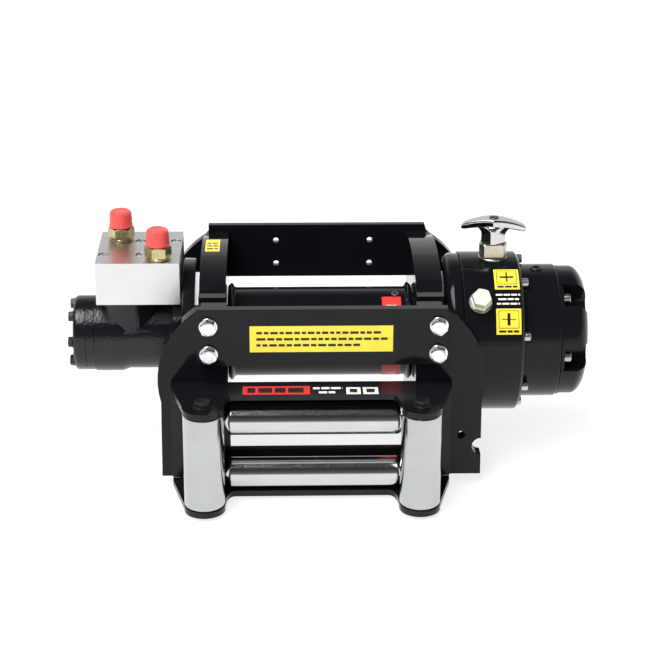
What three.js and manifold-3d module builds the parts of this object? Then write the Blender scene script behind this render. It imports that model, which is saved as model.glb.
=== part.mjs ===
// Hydraulic recovery winch: an orbital hydraulic motor with its valve block, a cable drum between two cast
// side frames, a two-stage planetary gearbox with a clutch handle, and a four-roller fairlead.
// Millimetres, +Z up, +X along the drum axis towards the gearbox, -Y towards the fairlead.
// Everything is drawn round the drum axis (y = 0, z = 0, with x = 0 midway between the side frames), and
// the group is moved at the end so that the origin is the middle of the whole winch.
import * as THREE from "three";
import { mergeVertices } from "three/addons/utils/BufferGeometryUtils.js";
import Module from "manifold-3d";

const wasm = await Module();
wasm.setup();

// ---------- driving dimensions ----------
const GAP = 0.3; // between pieces that touch
const SEG_LARGE = 28; // sides of a large round
const SEG_MID = 16;
const SEG_SMALL = 10;
const ARC_STEPS = 12; // steps of an arc in a flat outline

const WEB_IN = 124; // inner face of each side frame's web
const WEB_OUT = 159; // outer face of each web
const WEB_LIP = 155.3; // the bearing seat ends here, at a lip
const LIP_R = 34;
const WALL_OUT = 212; // outer edge of the front walls
const BASE_Z = -150; // the frame's flat base
const WALL_Y = -135; // front face of the front walls
const WALL_THICK = 20;
const WALL_TOP = 87.5;
const EAR_Y = 119; // front face of the rear ears
const EAR_THICK = 15;
const EAR_LOW = 41;
const EAR_TOP = 95;
const CORNER_R = 117.5; // outer corner arc of the walls and ears
const CORNER_X = 95;
const WALL_ARC_Z = -14;
const EAR_ARC_Z = -6;

const FRONT_TIE = { half: 160, low: 13.2, high: 90.3, thick: 12 };
const REAR_TIE = { half: 153, low: 28.6, high: 105.5, thick: 10 };
const REAR_HOLES = { x: [-58.7, 73], z: [48.3, 82.5], r: 4 };
const BOLT_X = 147;
const FRONT_SHIFT = 2; // the front bolts sit this far towards the gearbox
const FRONT_BOLT_Z = [29, 67.3];
const REAR_BOLT_Z = [45, 84];
const BOLT = { r: 6, hole: 6.3, flats: 19, head: 8, washerR: 12, washer: 2.5, inFrame: 30 };

const DRUM_R = 60;
const RIM = { r: 66, x: 119.2 };
const JOURNAL_R = 35.7;
const BUSH_R = 41.7;
const SHAFT_R = 9;

const MODULE = 4; // gear module, the same in both stages
const TEETH = { sun: 9, planet: 12, ring: 33 };
const PLANETS = 3;
const STAGE_OUT = { from: 206, to: 238, pinR: 7 };
const STAGE_IN = { from: 268, to: 291, pinR: 6 };
const SUN_BORE = SHAFT_R + 0.5;

const ADAPTOR_R = 105;
const HOUSING = { r: 107.3, bore: 90.3, from: 187, to: 266 };
const CASE = { r: 89.8, to: 317 };
const COVER = { r: 87.8, to: 355.5, bolts: 6, firstBolt: -6 };
const PLUG = { x: 208.6, r: 8, tilt: 0.73 }; // tilt is from -Y towards +Z

const CLUTCH_X = 231.5;
const CLUTCH_PIN_R = 6;
const NUT = { low: 103.8, step: 107.8, high: 127, r: 18.5, collarR: 19.3, flats: 26.4 };
const HANDLE_TURN = -0.15; // the crossbar's angle about Z at rest

const MOTOR = { r: 50.5, bore: 17, tail: -329.6, cover: -313, ring: -301.3, step: -262, nose: -183.3 };
const STAR_SHIFT = 2.2; // the rotor's centre sits off the axis
const RING_LOBES = 7;
const LOBE_STEPS = 6;
const BLOCK = { x0: -294.7, x1: -184.4, y0: -59.5, y1: 66.3, z0: 62.9, z1: 120.6 };
const FITTINGS = [{ name: "rear", x: -266.5, y: 36 }, { name: "front", x: -213, y: -39.5 }];
const BLOCK_SCREWS = [[-285.6, -24], [-236.4, -24.7], [-240.5, 28], [-192.6, 27.2]];

const LEAD = { x: -13.5, half: 182, top: -15, low: -160 }; // the fairlead's plates
const SHEET = 8; // their thickness
const WINDOW = { x0: -119, x1: 105, z0: -106.5, z1: -40 };
const UPRIGHT = { x: 138, y: -211, r: 26, lobeR: 26.5 }; // x is half the distance between the rollers
const LEVEL = { r: 20, y: -166, z: [-54, -129], x0: -125.5, x1: 104 };
const PIN_R = 7.5;
const ROLLER_BORE = PIN_R + 0.6;

const SIDES = [[-1, "left"], [1, "right"]];

// ---------- helpers ----------
function solid(geometry) {
  const bare = geometry.index ? geometry.toNonIndexed() : geometry;
  bare.deleteAttribute("normal");
  bare.deleteAttribute("uv");
  const merged = mergeVertices(bare, 1e-4);
  const vertProperties = merged.attributes.position.array;
  const build = (triVerts) => new wasm.Manifold(new wasm.Mesh({ numProp: 3, vertProperties, triVerts }));
  const made = build(new Uint32Array(merged.index.array));
  return made.volume() > 0 ? made : build(new Uint32Array(merged.index.array).reverse());
}

function geometryOf(body) {
  const mesh = body.getMesh();
  const geometry = new THREE.BufferGeometry();
  geometry.setAttribute("position", new THREE.BufferAttribute(mesh.vertProperties, 3));
  geometry.setIndex(new THREE.BufferAttribute(mesh.triVerts, 1));
  return geometry;
}

// The body turned about the X axis, from +Y towards +Z.
function spun(body, angle) {
  return solid(geometryOf(body).rotateX(angle));
}

const basis = (...columns) => new THREE.Matrix4().makeBasis(...columns.map((c) => new THREE.Vector3(...c)));
const AXES = {
  x: basis([0, 1, 0], [0, 0, 1], [1, 0, 0]),
  y: basis([0, 0, 1], [1, 0, 0], [0, 1, 0]),
  z: new THREE.Matrix4(),
};

// A round body about an axis, from [radius, place along the axis] points.
function turned(axis, points, segments = SEG_MID, centre = [0, 0, 0]) {
  const profile = points.map(([r, t]) => new THREE.Vector2(r, t));
  const hollow = points[0][0] > 0 || points[points.length - 1][0] > 0;
  if (hollow) profile.push(profile[0].clone());
  const lathe = new THREE.LatheGeometry(profile, segments).rotateX(Math.PI / 2);
  return solid(lathe.applyMatrix4(AXES[axis]).translate(...centre));
}

function rod(axis, r, from, to, segments = SEG_SMALL, centre = [0, 0, 0]) {
  return turned(axis, [[0, from], [r, from], [r, to], [0, to]], segments, centre);
}

function tube(axis, rIn, rOut, from, to, segments = SEG_MID, centre = [0, 0, 0]) {
  return turned(axis, [[rIn, from], [rOut, from], [rOut, to], [rIn, to]], segments, centre);
}

function hexPrism(axis, flats, from, to, centre = [0, 0, 0], turn = 0) {
  const r = flats / Math.sqrt(3);
  const prism = new THREE.CylinderGeometry(r, r, to - from, 6).rotateY(turn).rotateX(Math.PI / 2);
  return solid(prism.translate(0, 0, (from + to) / 2).applyMatrix4(AXES[axis]).translate(...centre));
}

function block(x0, x1, y0, y1, z0, z1) {
  const box = new THREE.BoxGeometry(x1 - x0, y1 - y0, z1 - z0);
  return solid(box.translate((x0 + x1) / 2, (y0 + y1) / 2, (z0 + z1) / 2));
}

// A flat plate from an outline in the two other axes: (y, z) across x, (x, z) across y, (x, y) across z.
function plate(axis, shape, from, to) {
  const settings = { depth: to - from, bevelEnabled: false, curveSegments: ARC_STEPS };
  const flat = new THREE.ExtrudeGeometry(shape, settings);
  if (axis === "x") return solid(flat.translate(0, 0, from).applyMatrix4(AXES.x));
  if (axis === "y") return solid(flat.rotateX(Math.PI / 2).translate(0, to, 0));
  return solid(flat.translate(0, 0, from));
}

function outline(points) {
  return new THREE.Shape(points.map(([a, b]) => new THREE.Vector2(a, b)));
}

// A list of evenly spaced values of a function of 0..1.
function spread(steps, value) {
  return Array.from({ length: steps + 1 }, (_, i) => value(i / steps));
}

const winch = new THREE.Group();

function add(name, body, material) {
  const mesh = new THREE.Mesh(geometryOf(body), material);
  mesh.name = name;
  winch.add(mesh);
  return mesh;
}

function finish(color, roughness, metalness) {
  return new THREE.MeshStandardMaterial({ color, roughness, metalness });
}
const paint = () => finish(0x151618, 0.3, 0.1);
const castPaint = () => finish(0x1b1c1e, 0.5, 0.1);
const chrome = () => finish(0xd8dade, 0.08, 1);
const zinc = () => finish(0xc9ccce, 0.35, 1);
const aluminium = () => finish(0xc4c7c9, 0.4, 1);
const yellowZinc = () => finish(0xb59a5a, 0.35, 1);
const gearSteel = () => finish(0x8c8f92, 0.4, 1);
const bronze = () => finish(0xa98042, 0.45, 1);
const rubber = () => finish(0x202020, 0.8, 0);
const redPlastic = () => finish(0xe8413a, 0.45, 0);
const creamPlastic = () => finish(0xe6dcb8, 0.4, 0);

// ---------- side frames and ties ----------
// The outer corner in (x, z): an arc from the outer edge up to the top edge.
function cornerArc(centreZ, topZ, lowZ) {
  const start = Math.asin((lowZ - centreZ) / CORNER_R);
  const end = Math.asin((topZ - centreZ) / CORNER_R);
  return spread(ARC_STEPS, (t) => {
    const a = start + (end - start) * t;
    return [CORNER_X + CORNER_R * Math.cos(a), centreZ + CORNER_R * Math.sin(a)];
  });
}

// Round holes along Y at every x with every z.
function boltHoles(xs, zs, r, y0, y1) {
  const places = xs.flatMap((x) => zs.map((z) => [x, 0, z]));
  return places.map((at) => rod("y", r, y0, y1, SEG_SMALL, at)).reduce((all, hole) => all.add(hole));
}

// The web's side profile in (y, z): flat base, shallow arch on top, ledge and recess behind the front wall.
function webShape() {
  const ARCH = { r: 340, y: 28, top: 108, from: 118, to: -62 };
  const LEDGE = { back: -70, front: -98, z: WALL_TOP, recess: 72 };
  const arch = spread(ARC_STEPS, (t) => {
    const y = ARCH.from + (ARCH.to - ARCH.from) * t;
    return [y, ARCH.top - ARCH.r + Math.sqrt(ARCH.r ** 2 - (y - ARCH.y) ** 2)];
  });
  const inWall = WALL_Y + WALL_THICK - 1;
  const inEar = EAR_Y + 1;
  return outline([[inWall, BASE_Z], [inEar, BASE_Z], [inEar, EAR_TOP], ...arch, [LEDGE.back, LEDGE.z],
    [LEDGE.front, LEDGE.z], [LEDGE.front, LEDGE.recess], [inWall, LEDGE.recess]]);
}

function sideFrame(side) {
  const sided = (points) => outline(points.map(([x, z]) => [side * x, z]));
  const [x0, x1] = side > 0 ? [WEB_IN, WEB_OUT] : [-WEB_OUT, -WEB_IN];
  const innerEdge = WEB_IN - 2.5;
  const wall = sided([[innerEdge, BASE_Z], [WALL_OUT - 2, BASE_Z], ...cornerArc(WALL_ARC_Z, WALL_TOP, -44),
    [innerEdge, WALL_TOP]]);
  const ear = sided([[WEB_IN, EAR_LOW], ...cornerArc(EAR_ARC_Z, EAR_TOP, EAR_LOW), [WEB_IN, EAR_TOP]]);
  const seat = [WEB_IN - 1, WEB_LIP].map((x) => side * x).sort((a, b) => a - b);
  const body = plate("x", webShape(), x0, x1)
    .add(plate("y", wall, WALL_Y, WALL_Y + WALL_THICK))
    .add(plate("y", ear, EAR_Y, EAR_Y + EAR_THICK))
    .subtract(rod("x", BUSH_R + GAP, ...seat, SEG_LARGE))
    .subtract(rod("x", LIP_R, x0 - 1, x1 + 1, SEG_LARGE));
  const depth = BOLT.inFrame + 3;
  const earBack = EAR_Y + EAR_THICK;
  return body
    .subtract(boltHoles([side * BOLT_X + FRONT_SHIFT], FRONT_BOLT_Z, BOLT.hole, WALL_Y - 1, WALL_Y + depth))
    .subtract(boltHoles([side * BOLT_X], REAR_BOLT_Z, BOLT.hole, earBack - depth, earBack + 1));
}

// The right front wall alone has a small hole and a half-round notch in its outer edge.
function rightWallCuts() {
  const through = [WALL_Y - 1, WALL_Y + WALL_THICK + 1];
  return rod("y", 5.7, ...through, SEG_SMALL, [183, 0, -93.3])
    .add(rod("y", 12, ...through, SEG_MID, [209.5, 0, -110]));
}

function frontTie() {
  const { half, low, high, thick } = FRONT_TIE;
  const back = WALL_Y - GAP;
  return block(-half, half, back - thick, back, low, high)
    .subtract(boltHoles([FRONT_SHIFT - BOLT_X, FRONT_SHIFT + BOLT_X], FRONT_BOLT_Z, BOLT.hole, back - thick - 1,
      back + 1));
}

function rearTie() {
  const { half, low, high, thick } = REAR_TIE;
  const face = EAR_Y + EAR_THICK + GAP;
  const through = [face - 1, face + thick + 1];
  const edge = outline([[-half, low], [half, low], [half + 1, high - 12], [half - 3, high], [-half, high]]);
  return plate("y", edge, face, face + thick)
    .subtract(boltHoles([-BOLT_X, BOLT_X], REAR_BOLT_Z, BOLT.hole, ...through))
    .subtract(boltHoles(REAR_HOLES.x, REAR_HOLES.z, REAR_HOLES.r, ...through));
}

// A hex bolt with its washer. Its head points along -Y when sign is -1, and along +Y when sign is 1.
function tieBolt(sign, x, z, faceY, plateThick) {
  const along = (a, b) => [faceY + sign * a, faceY + sign * b].sort((p, q) => p - q);
  const washerTop = GAP + BOLT.washer;
  return rod("y", BOLT.washerR, ...along(GAP, washerTop), 18, [x, 0, z])
    .add(hexPrism("y", BOLT.flats, ...along(GAP + 1, washerTop + BOLT.head), [x, 0, z], 0.3))
    .add(rod("y", BOLT.r, ...along(1, -plateThick - BOLT.inFrame), SEG_SMALL, [x, 0, z]));
}

add("left_side_frame", sideFrame(-1), paint());
add("right_side_frame", sideFrame(1).subtract(rightWallCuts()), paint());
add("front_tie_plate", frontTie(), paint());
add("rear_tie_plate", rearTie(), paint());
for (const [side, word] of SIDES) {
  const frontFace = WALL_Y - GAP - FRONT_TIE.thick;
  const rearFace = EAR_Y + EAR_THICK + GAP + REAR_TIE.thick;
  const x = side * BOLT_X;
  FRONT_BOLT_Z.forEach((z, i) => {
    const bolt = tieBolt(-1, x + FRONT_SHIFT, z, frontFace, FRONT_TIE.thick);
    add(`front_tie_bolt_${word}_${i + 1}`, bolt, zinc());
  });
  REAR_BOLT_Z.forEach((z, i) => {
    add(`rear_tie_bolt_${word}_${i + 1}`, tieBolt(1, x, z, rearFace, REAR_TIE.thick), zinc());
  });
}

// ---------- drum and its bushings ----------
function drum() {
  const WALL_IN = 44;
  const NECK_IN = 30;
  const flank = WEB_IN - 0.8;
  const end = WEB_LIP - 2.3;
  const half = [[DRUM_R, RIM.x - 9], [RIM.r - 2, RIM.x - 4], [RIM.r, RIM.x], [DRUM_R + 2, flank],
    [JOURNAL_R, flank], [JOURNAL_R, end], [NECK_IN, end], [NECK_IN, 96], [WALL_IN, 90]];
  const otherHalf = half.map(([r, x]) => [r, -x]).reverse();
  return turned("x", [...half, ...otherHalf], SEG_LARGE);
}

add("drum", drum(), paint());
for (const [side, word] of SIDES) {
  const span = [WEB_IN + 1, WEB_LIP - GAP].map((x) => side * x).sort((a, b) => a - b);
  add(`${word}_drum_bushing`, tube("x", JOURNAL_R + GAP, BUSH_R, ...span, SEG_LARGE), bronze());
}

// ---------- gears ----------
// Points of a gear's edge in (y, z). A ring gear's teeth point inwards.
function gearEdge(teeth, phase, inward) {
  const TIP = 0.8 * MODULE;
  const ROOT = 1.15 * MODULE;
  const pitch = (MODULE * teeth) / 2;
  const tip = inward ? pitch - TIP : pitch + TIP;
  const root = inward ? pitch + ROOT : pitch - ROOT;
  const step = (2 * Math.PI) / teeth;
  const corners = [[root, -0.31], [tip, -0.12], [tip, 0.12], [root, 0.31]];
  return Array.from({ length: teeth }, (_, i) => phase + i * step).flatMap((a) => (
    corners.map(([r, part]) => [r * Math.cos(a + part * step), r * Math.sin(a + part * step)])));
}

function gear(teeth, phase, boreR, from, to, centre = [0, 0]) {
  const edge = gearEdge(teeth, phase, false).map(([y, z]) => [y + centre[0], z + centre[1]]);
  const bore = rod("x", boreR, from - 1, to + 1, SEG_MID, [0, ...centre]);
  return plate("x", outline(edge), from, to).subtract(bore);
}

function ringGear(outerR, from, to) {
  const teeth = plate("x", outline(gearEdge(TEETH.ring, 0, true)), from - 1, to + 1);
  return rod("x", outerR, from, to, SEG_LARGE).subtract(teeth);
}

// The planets' centres, and the tooth phase that meshes with a sun that has a tooth on the +Y axis.
function planetPlaces() {
  const orbit = (MODULE * (TEETH.sun + TEETH.planet)) / 2;
  return Array.from({ length: PLANETS }, (_, i) => (2 * Math.PI * i) / PLANETS).map((at) => ({
    centre: [orbit * Math.cos(at), orbit * Math.sin(at)],
    phase: at + Math.PI - Math.PI / TEETH.planet,
  }));
}

function planetPins(stage, from) {
  const { pinR, to } = stage;
  return planetPlaces().map(({ centre }) => rod("x", pinR, from, to, SEG_SMALL, [0, ...centre]));
}

function addPlanets(stage, word) {
  planetPlaces().forEach(({ centre, phase }, i) => {
    const planet = gear(TEETH.planet, phase, stage.pinR + GAP, stage.from, stage.to, centre);
    add(`${word}_planet_${i + 1}`, planet, gearSteel());
  });
}

function outputCarrier() {
  const DISC = { r: 58, from: 192, to: 201 };
  const HUB = { r: 29.6, from: 130 };
  let body = rod("x", DISC.r, DISC.from, DISC.to, SEG_LARGE);
  body = body.add(rod("x", HUB.r, HUB.from, DISC.from + 1, SEG_LARGE));
  for (const pin of planetPins(STAGE_OUT, DISC.to - 1)) body = body.add(pin);
  return body.subtract(rod("x", SHAFT_R + 2, HUB.from - 1, DISC.to + 1, SEG_MID));
}

// The input planets' carrier, with the output stage's sun on its hub.
function intermediateCarrier() {
  const DISC = { r: 54, from: 248, to: 256 };
  let body = rod("x", DISC.r, DISC.from, DISC.to, SEG_LARGE);
  for (const pin of planetPins(STAGE_IN, DISC.to - 1)) body = body.add(pin);
  body = body.subtract(rod("x", SUN_BORE, DISC.from - 1, DISC.to + 1, SEG_MID));
  return body.add(gear(TEETH.sun, 0, SUN_BORE, STAGE_OUT.from - 1, DISC.from + 1));
}

const CLUTCH_HOLE = rod("z", CLUTCH_PIN_R + 0.6, 79, 95, SEG_SMALL, [CLUTCH_X, 0, 0]);
add("output_carrier", outputCarrier(), gearSteel());
addPlanets(STAGE_OUT, "output");
add("output_ring_gear", ringGear(HOUSING.bore - GAP, 202.5, 244).subtract(CLUTCH_HOLE), gearSteel());
add("intermediate_carrier", intermediateCarrier(), gearSteel());
addPlanets(STAGE_IN, "input");
add("input_ring_gear", ringGear(80, 267, 295), gearSteel());
add("input_sun_gear", gear(TEETH.sun, 0, SHAFT_R + GAP, STAGE_IN.from - 2, STAGE_IN.to + 1), gearSteel());
add("drive_shaft", rod("x", SHAFT_R, -163, 325, SEG_MID), gearSteel());

// ---------- gearbox housings ----------
function adaptor() {
  const BORE_R = 31;
  const SLEEVE_R = 46;
  const DISC_X = 163.3;
  const CHAMFER = 8;
  const start = WEB_LIP + 0.5;
  const end = HOUSING.from - GAP;
  return turned("x", [[BORE_R, start], [LIP_R - 0.5, start], [LIP_R - 0.5, WEB_OUT + GAP],
    [SLEEVE_R, WEB_OUT + GAP], [SLEEVE_R, DISC_X], [ADAPTOR_R - CHAMFER, DISC_X], [ADAPTOR_R, DISC_X + CHAMFER],
    [ADAPTOR_R, end], [BORE_R, end]], SEG_LARGE);
}

function ringHousing() {
  const { r, bore, from, to } = HOUSING;
  const CHAMFER = 5;
  const END_WALL = 9;
  const END_BORE = 72;
  const BOSS = { r: 20, low: r - 14, high: NUT.low - GAP };
  const plugHole = rod("y", PLUG.r + GAP, -r - 5, -r + 22, SEG_MID, [PLUG.x, 0, 0]);
  return turned("x", [[bore, from], [r - 2, from], [r, from + 2], [r, to - CHAMFER],
    [r - CHAMFER * 0.75, to], [END_BORE, to], [END_BORE, to - END_WALL], [bore, to - END_WALL]], SEG_LARGE)
    .add(rod("z", BOSS.r, BOSS.low, BOSS.high, SEG_MID, [CLUTCH_X, 0, 0]))
    .subtract(rod("z", NUT.collarR + GAP, NUT.low - GAP, 115, SEG_MID, [CLUTCH_X, 0, 0]))
    .subtract(rod("z", CLUTCH_PIN_R + 1, 80, 115, SEG_SMALL, [CLUTCH_X, 0, 0]))
    .subtract(spun(plugHole, -PLUG.tilt));
}

function oilPlug() {
  const face = -HOUSING.r;
  const at = [PLUG.x, 0, 0];
  const body = rod("y", PLUG.r, face - 4, face + 15, SEG_MID, at)
    .add(rod("y", 15.5, face - 5, face - 1.5, SEG_MID, at))
    .add(hexPrism("y", 22, face - 21, face - 4, at, 0.77));
  return spun(body, -PLUG.tilt);
}

function gearCase() {
  const from = HOUSING.to + GAP;
  const END_WALL = CASE.to - 11;
  const RING_SEAT = 80.4;
  return turned("x", [[RING_SEAT, from], [CASE.r, from], [CASE.r, CASE.to], [16, CASE.to], [16, END_WALL],
    [70, END_WALL], [RING_SEAT, 297]], SEG_LARGE);
}

function endCover() {
  const from = CASE.to + GAP;
  const POCKET = { floor: 322, inner: 52, half: 16 };
  const DISH = { r: 47, depth: 5 };
  const { r, to } = COVER;
  const pocket = block(POCKET.floor, to + 5, POCKET.inner, r + 10, -POCKET.half, POCKET.half);
  let body = turned("x", [[0, from], [r, from], [r, to - 18], [r - 5, to - 9], [r - 15, to - 2.5],
    [r - 26, to], [DISH.r, to], [DISH.r, to - DISH.depth], [0, to - DISH.depth]], SEG_LARGE);
  for (let i = 0; i < COVER.bolts; i++) {
    const turn = Math.PI - THREE.MathUtils.degToRad(COVER.firstBolt + (360 / COVER.bolts) * i);
    body = body.subtract(spun(pocket, turn));
  }
  return body.subtract(rod("x", SUN_BORE, from - 1, 328, SEG_MID));
}

add("gearbox_adaptor", adaptor(), paint());
add("ring_housing", ringHousing(), paint());
add("gear_case", gearCase(), paint());
add("gear_end_cover", endCover(), paint());
add("oil_plug", oilPlug(), creamPlastic());

// ---------- clutch ----------
const PIN_TOP = 146;
const HANDLE_LOW = NUT.high + 0.5;

// A T-handle drawn on the Z axis: an arched crossbar on a square stem that flares up into it.
function handle() {
  const BAR = { half: 43, tipZ: 151, crown: 172, thick: 7.5, depth: 10 };
  const STEM = { corner: 16.2, side: 12 };
  const bar = new THREE.Shape();
  bar.moveTo(-STEM.side, HANDLE_LOW + 8);
  bar.lineTo(STEM.side, HANDLE_LOW + 8);
  bar.quadraticCurveTo(STEM.side + 1, BAR.tipZ + 4, BAR.half - 2, BAR.tipZ - BAR.thick);
  bar.lineTo(BAR.half, BAR.tipZ);
  bar.quadraticCurveTo(0, BAR.crown, -BAR.half, BAR.tipZ);
  bar.lineTo(2 - BAR.half, BAR.tipZ - BAR.thick);
  bar.quadraticCurveTo(-STEM.side - 1, BAR.tipZ + 4, -STEM.side, HANDLE_LOW + 8);
  return plate("y", bar, -BAR.depth, BAR.depth)
    .add(rod("z", STEM.corner, HANDLE_LOW, PIN_TOP + 8, 4))
    .subtract(rod("z", CLUTCH_PIN_R + GAP, HANDLE_LOW - 1, PIN_TOP + GAP, SEG_MID));
}

// A round collar with two flats for a spanner, one of them facing the front.
function clutchNut() {
  const { r, collarR, low, step, high, flats } = NUT;
  const half = flats / 2;
  return rod("z", r, low, high, SEG_MID, [CLUTCH_X, 0, 0])
    .subtract(block(CLUTCH_X - r, CLUTCH_X + r, half, r + 1, low - 1, high + 1))
    .subtract(block(CLUTCH_X - r, CLUTCH_X + r, -r - 1, -half, low - 1, high + 1))
    .add(rod("z", collarR, low, step, SEG_MID, [CLUTCH_X, 0, 0]))
    .subtract(rod("z", CLUTCH_PIN_R + 1, low - 1, high + 1, SEG_SMALL, [CLUTCH_X, 0, 0]));
}

add("clutch_nut", clutchNut(), zinc());
add("clutch_pin", rod("z", CLUTCH_PIN_R, 83, PIN_TOP, SEG_SMALL, [CLUTCH_X, 0, 0]), gearSteel());
const clutchHandle = add("clutch_handle", handle(), chrome());
clutchHandle.position.x = CLUTCH_X;
clutchHandle.rotation.z = HANDLE_TURN;

// ---------- hydraulic motor ----------
const SEAL = { r: 20, from: -176, to: -171 };
const NOSE_R = 23.8;
const OUT_SHAFT_R = 12;

function mountPlate() {
  const DISC = { r: 100, to: -165 };
  const SLEEVE_R = 36;
  const bore = NOSE_R + 0.5;
  const start = MOTOR.nose + GAP;
  const end = -WEB_LIP - 0.5;
  return turned("x", [[bore, start], [DISC.r - 2, start], [DISC.r, start + 2], [DISC.r, DISC.to],
    [SLEEVE_R, DISC.to], [SLEEVE_R, -WEB_OUT - GAP], [LIP_R - 0.5, -WEB_OUT - GAP], [LIP_R - 0.5, end],
    [bore, end]], SEG_LARGE);
}

// A round body with a flange at the nose, and an upright round tower that carries the ports to the valve block.
function motorHousing() {
  const { bore, ring, step, nose } = MOTOR;
  const FRONT_R = 52;
  const BODY_R = 48.5;
  const TOWER = { x: -254.5, r: 46 };
  const FLANGE_R = 61;
  const start = ring + GAP;
  const round = turned("x", [[bore, start], [FRONT_R, start], [FRONT_R, step], [BODY_R, step + 5],
    [BODY_R, -199], [FLANGE_R, -196], [FLANGE_R, nose], [NOSE_R, nose], [NOSE_R, SEAL.to], [SEAL.r, SEAL.to],
    [SEAL.r, SEAL.from], [bore, SEAL.from]], SEG_LARGE);
  const top = BLOCK.z0 - GAP;
  const tower = rod("z", TOWER.r, 0, top, SEG_LARGE, [TOWER.x, 0, 0]);
  const inside = rod("x", FRONT_R - 8, TOWER.x - 60, TOWER.x + 60, SEG_MID);
  return round.add(tower.subtract(inside));
}

function lobedEdge(lobes, radius, depth, points) {
  return Array.from({ length: points }, (_, i) => (2 * Math.PI * i) / points).map((a) => {
    const r = radius + depth * Math.cos(lobes * a);
    return [r * Math.cos(a), r * Math.sin(a)];
  });
}

function gerotorRing() {
  const edge = lobedEdge(RING_LOBES, 38, 2.6, RING_LOBES * LOBE_STEPS);
  const hollow = plate("x", outline(edge), MOTOR.cover, MOTOR.ring);
  return rod("x", MOTOR.r, MOTOR.cover + GAP, MOTOR.ring - GAP, SEG_LARGE).subtract(hollow);
}

function gerotorStar() {
  const lobes = RING_LOBES - 1;
  const edge = lobedEdge(lobes, 33.6, 2.4, lobes * LOBE_STEPS).map(([y, z]) => [y + STAR_SHIFT, z]);
  return plate("x", outline(edge), MOTOR.cover + 2 * GAP, MOTOR.ring - 2 * GAP)
    .subtract(rod("x", 11.5, MOTOR.cover, MOTOR.ring, SEG_MID, [0, STAR_SHIFT, 0]));
}

function motorShaft() {
  return rod("x", MOTOR.bore - 0.5, -298, -188, SEG_LARGE)
    .add(rod("x", OUT_SHAFT_R, -189, -165, SEG_MID))
    .subtract(rod("x", 10.5, -299, -246, SEG_MID));
}

function shaftCoupling() {
  const R = 22.5;
  const joint = -164.5;
  return tube("x", OUT_SHAFT_R + GAP, R, -169, joint, SEG_MID)
    .add(tube("x", SHAFT_R + GAP, R, joint, -150, SEG_MID));
}

add("motor_mount_plate", mountPlate(), paint());
function motorEndCover() {
  const { r, tail, cover } = MOTOR;
  return turned("x", [[0, tail], [r - 2, tail], [r, tail + 2], [r, cover], [0, cover]], SEG_LARGE);
}

// The splined link from the orbiting star to the shaft, drawn as a plain round bar with two crowned ends.
function cardanLink() {
  return turned("x", [[0, -311], [9, -311], [9, -304], [6, -298], [6, -262], [8, -258], [8, -249], [0, -249]],
    SEG_SMALL, [0, STAR_SHIFT / 2, 0]);
}

function shaftSeal() {
  return tube("x", OUT_SHAFT_R + 0.4, SEAL.r - 0.4, SEAL.from + 0.5, SEAL.to - 0.5);
}

add("motor_housing", motorHousing(), castPaint());
add("motor_end_cover", motorEndCover(), castPaint());
add("gerotor_ring", gerotorRing(), castPaint());
add("gerotor_star", gerotorStar(), gearSteel());
add("cardan_link", cardanLink(), gearSteel());
add("motor_shaft", motorShaft(), gearSteel());
add("motor_shaft_seal", shaftSeal(), rubber());
add("shaft_coupling", shaftCoupling(), gearSteel());

// ---------- valve block and its ports ----------
const THREAD_R = 12.7;
const COUNTERBORE_R = 7.3;
function valveBlock() {
  const { x0, x1, y0, y1, z0, z1 } = BLOCK;
  let body = block(x0, x1, y0, y1, z0, z1);
  for (const { x, y } of FITTINGS) {
    body = body.subtract(rod("z", THREAD_R + GAP, z1 - 18, z1 + 1, SEG_MID, [x, y, 0]));
  }
  for (const [x, y] of BLOCK_SCREWS) {
    body = body.subtract(rod("z", COUNTERBORE_R, z1 - 4, z1 + 1, SEG_SMALL, [x, y, 0]));
  }
  return body;
}

// A port adaptor: thread, washer face, hex and the outlet that the cap covers.
function portFitting(x, y) {
  const top = BLOCK.z1;
  const at = [x, y, 0];
  return rod("z", THREAD_R, top - 16, top + 1, SEG_MID, at)
    .add(rod("z", 16.8, top + GAP, top + 4, SEG_MID, at))
    .add(hexPrism("z", 31, top + 3, top + 18.4, at, 0.4))
    .add(rod("z", 12, top + 18, top + 37, SEG_MID, at))
    .subtract(rod("z", 8.5, top - 17, top + 38, SEG_SMALL, at));
}

function portCap(x, y) {
  const top = BLOCK.z1;
  const bore = 12.4;
  const low = top + 18.8;
  const inner = top + 38;
  return turned("z", [[bore, low], [15.7, low], [14.7, inner], [13, inner + 2.6], [0, inner + 3], [0, inner],
    [bore, inner]], SEG_MID, [x, y, 0]);
}

add("valve_block", valveBlock(), aluminium());
for (const { name, x, y } of FITTINGS) {
  add(`${name}_port_fitting`, portFitting(x, y), yellowZinc());
  add(`${name}_port_cap`, portCap(x, y), redPlastic());
}

// ---------- fairlead ----------
const LEAD_BACK = WALL_Y - GAP;

// A flange's outline in (x, y) round the fairlead's middle: a lobe round each upright roller's pin.
function flangeShape(frontY) {
  const { x, y, lobeR } = UPRIGHT;
  const neck = x - lobeR;
  const FILLET = 13;
  const shape = new THREE.Shape();
  shape.moveTo(-LEAD.half, LEAD_BACK);
  shape.lineTo(-LEAD.half, LEAD_BACK - SHEET);
  shape.absarc(-x, y, lobeR, Math.PI, 2 * Math.PI, false);
  shape.quadraticCurveTo(-neck, frontY, -neck + FILLET, frontY);
  shape.lineTo(neck - FILLET, frontY);
  shape.quadraticCurveTo(neck, frontY, neck, y);
  shape.absarc(x, y, lobeR, Math.PI, 2 * Math.PI, false);
  shape.lineTo(LEAD.half, LEAD_BACK - SHEET);
  shape.lineTo(LEAD.half, LEAD_BACK);
  return shape;
}

function flange(frontY, low) {
  return solid(geometryOf(plate("z", flangeShape(frontY), low, low + SHEET)).translate(LEAD.x, 0, 0));
}

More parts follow.
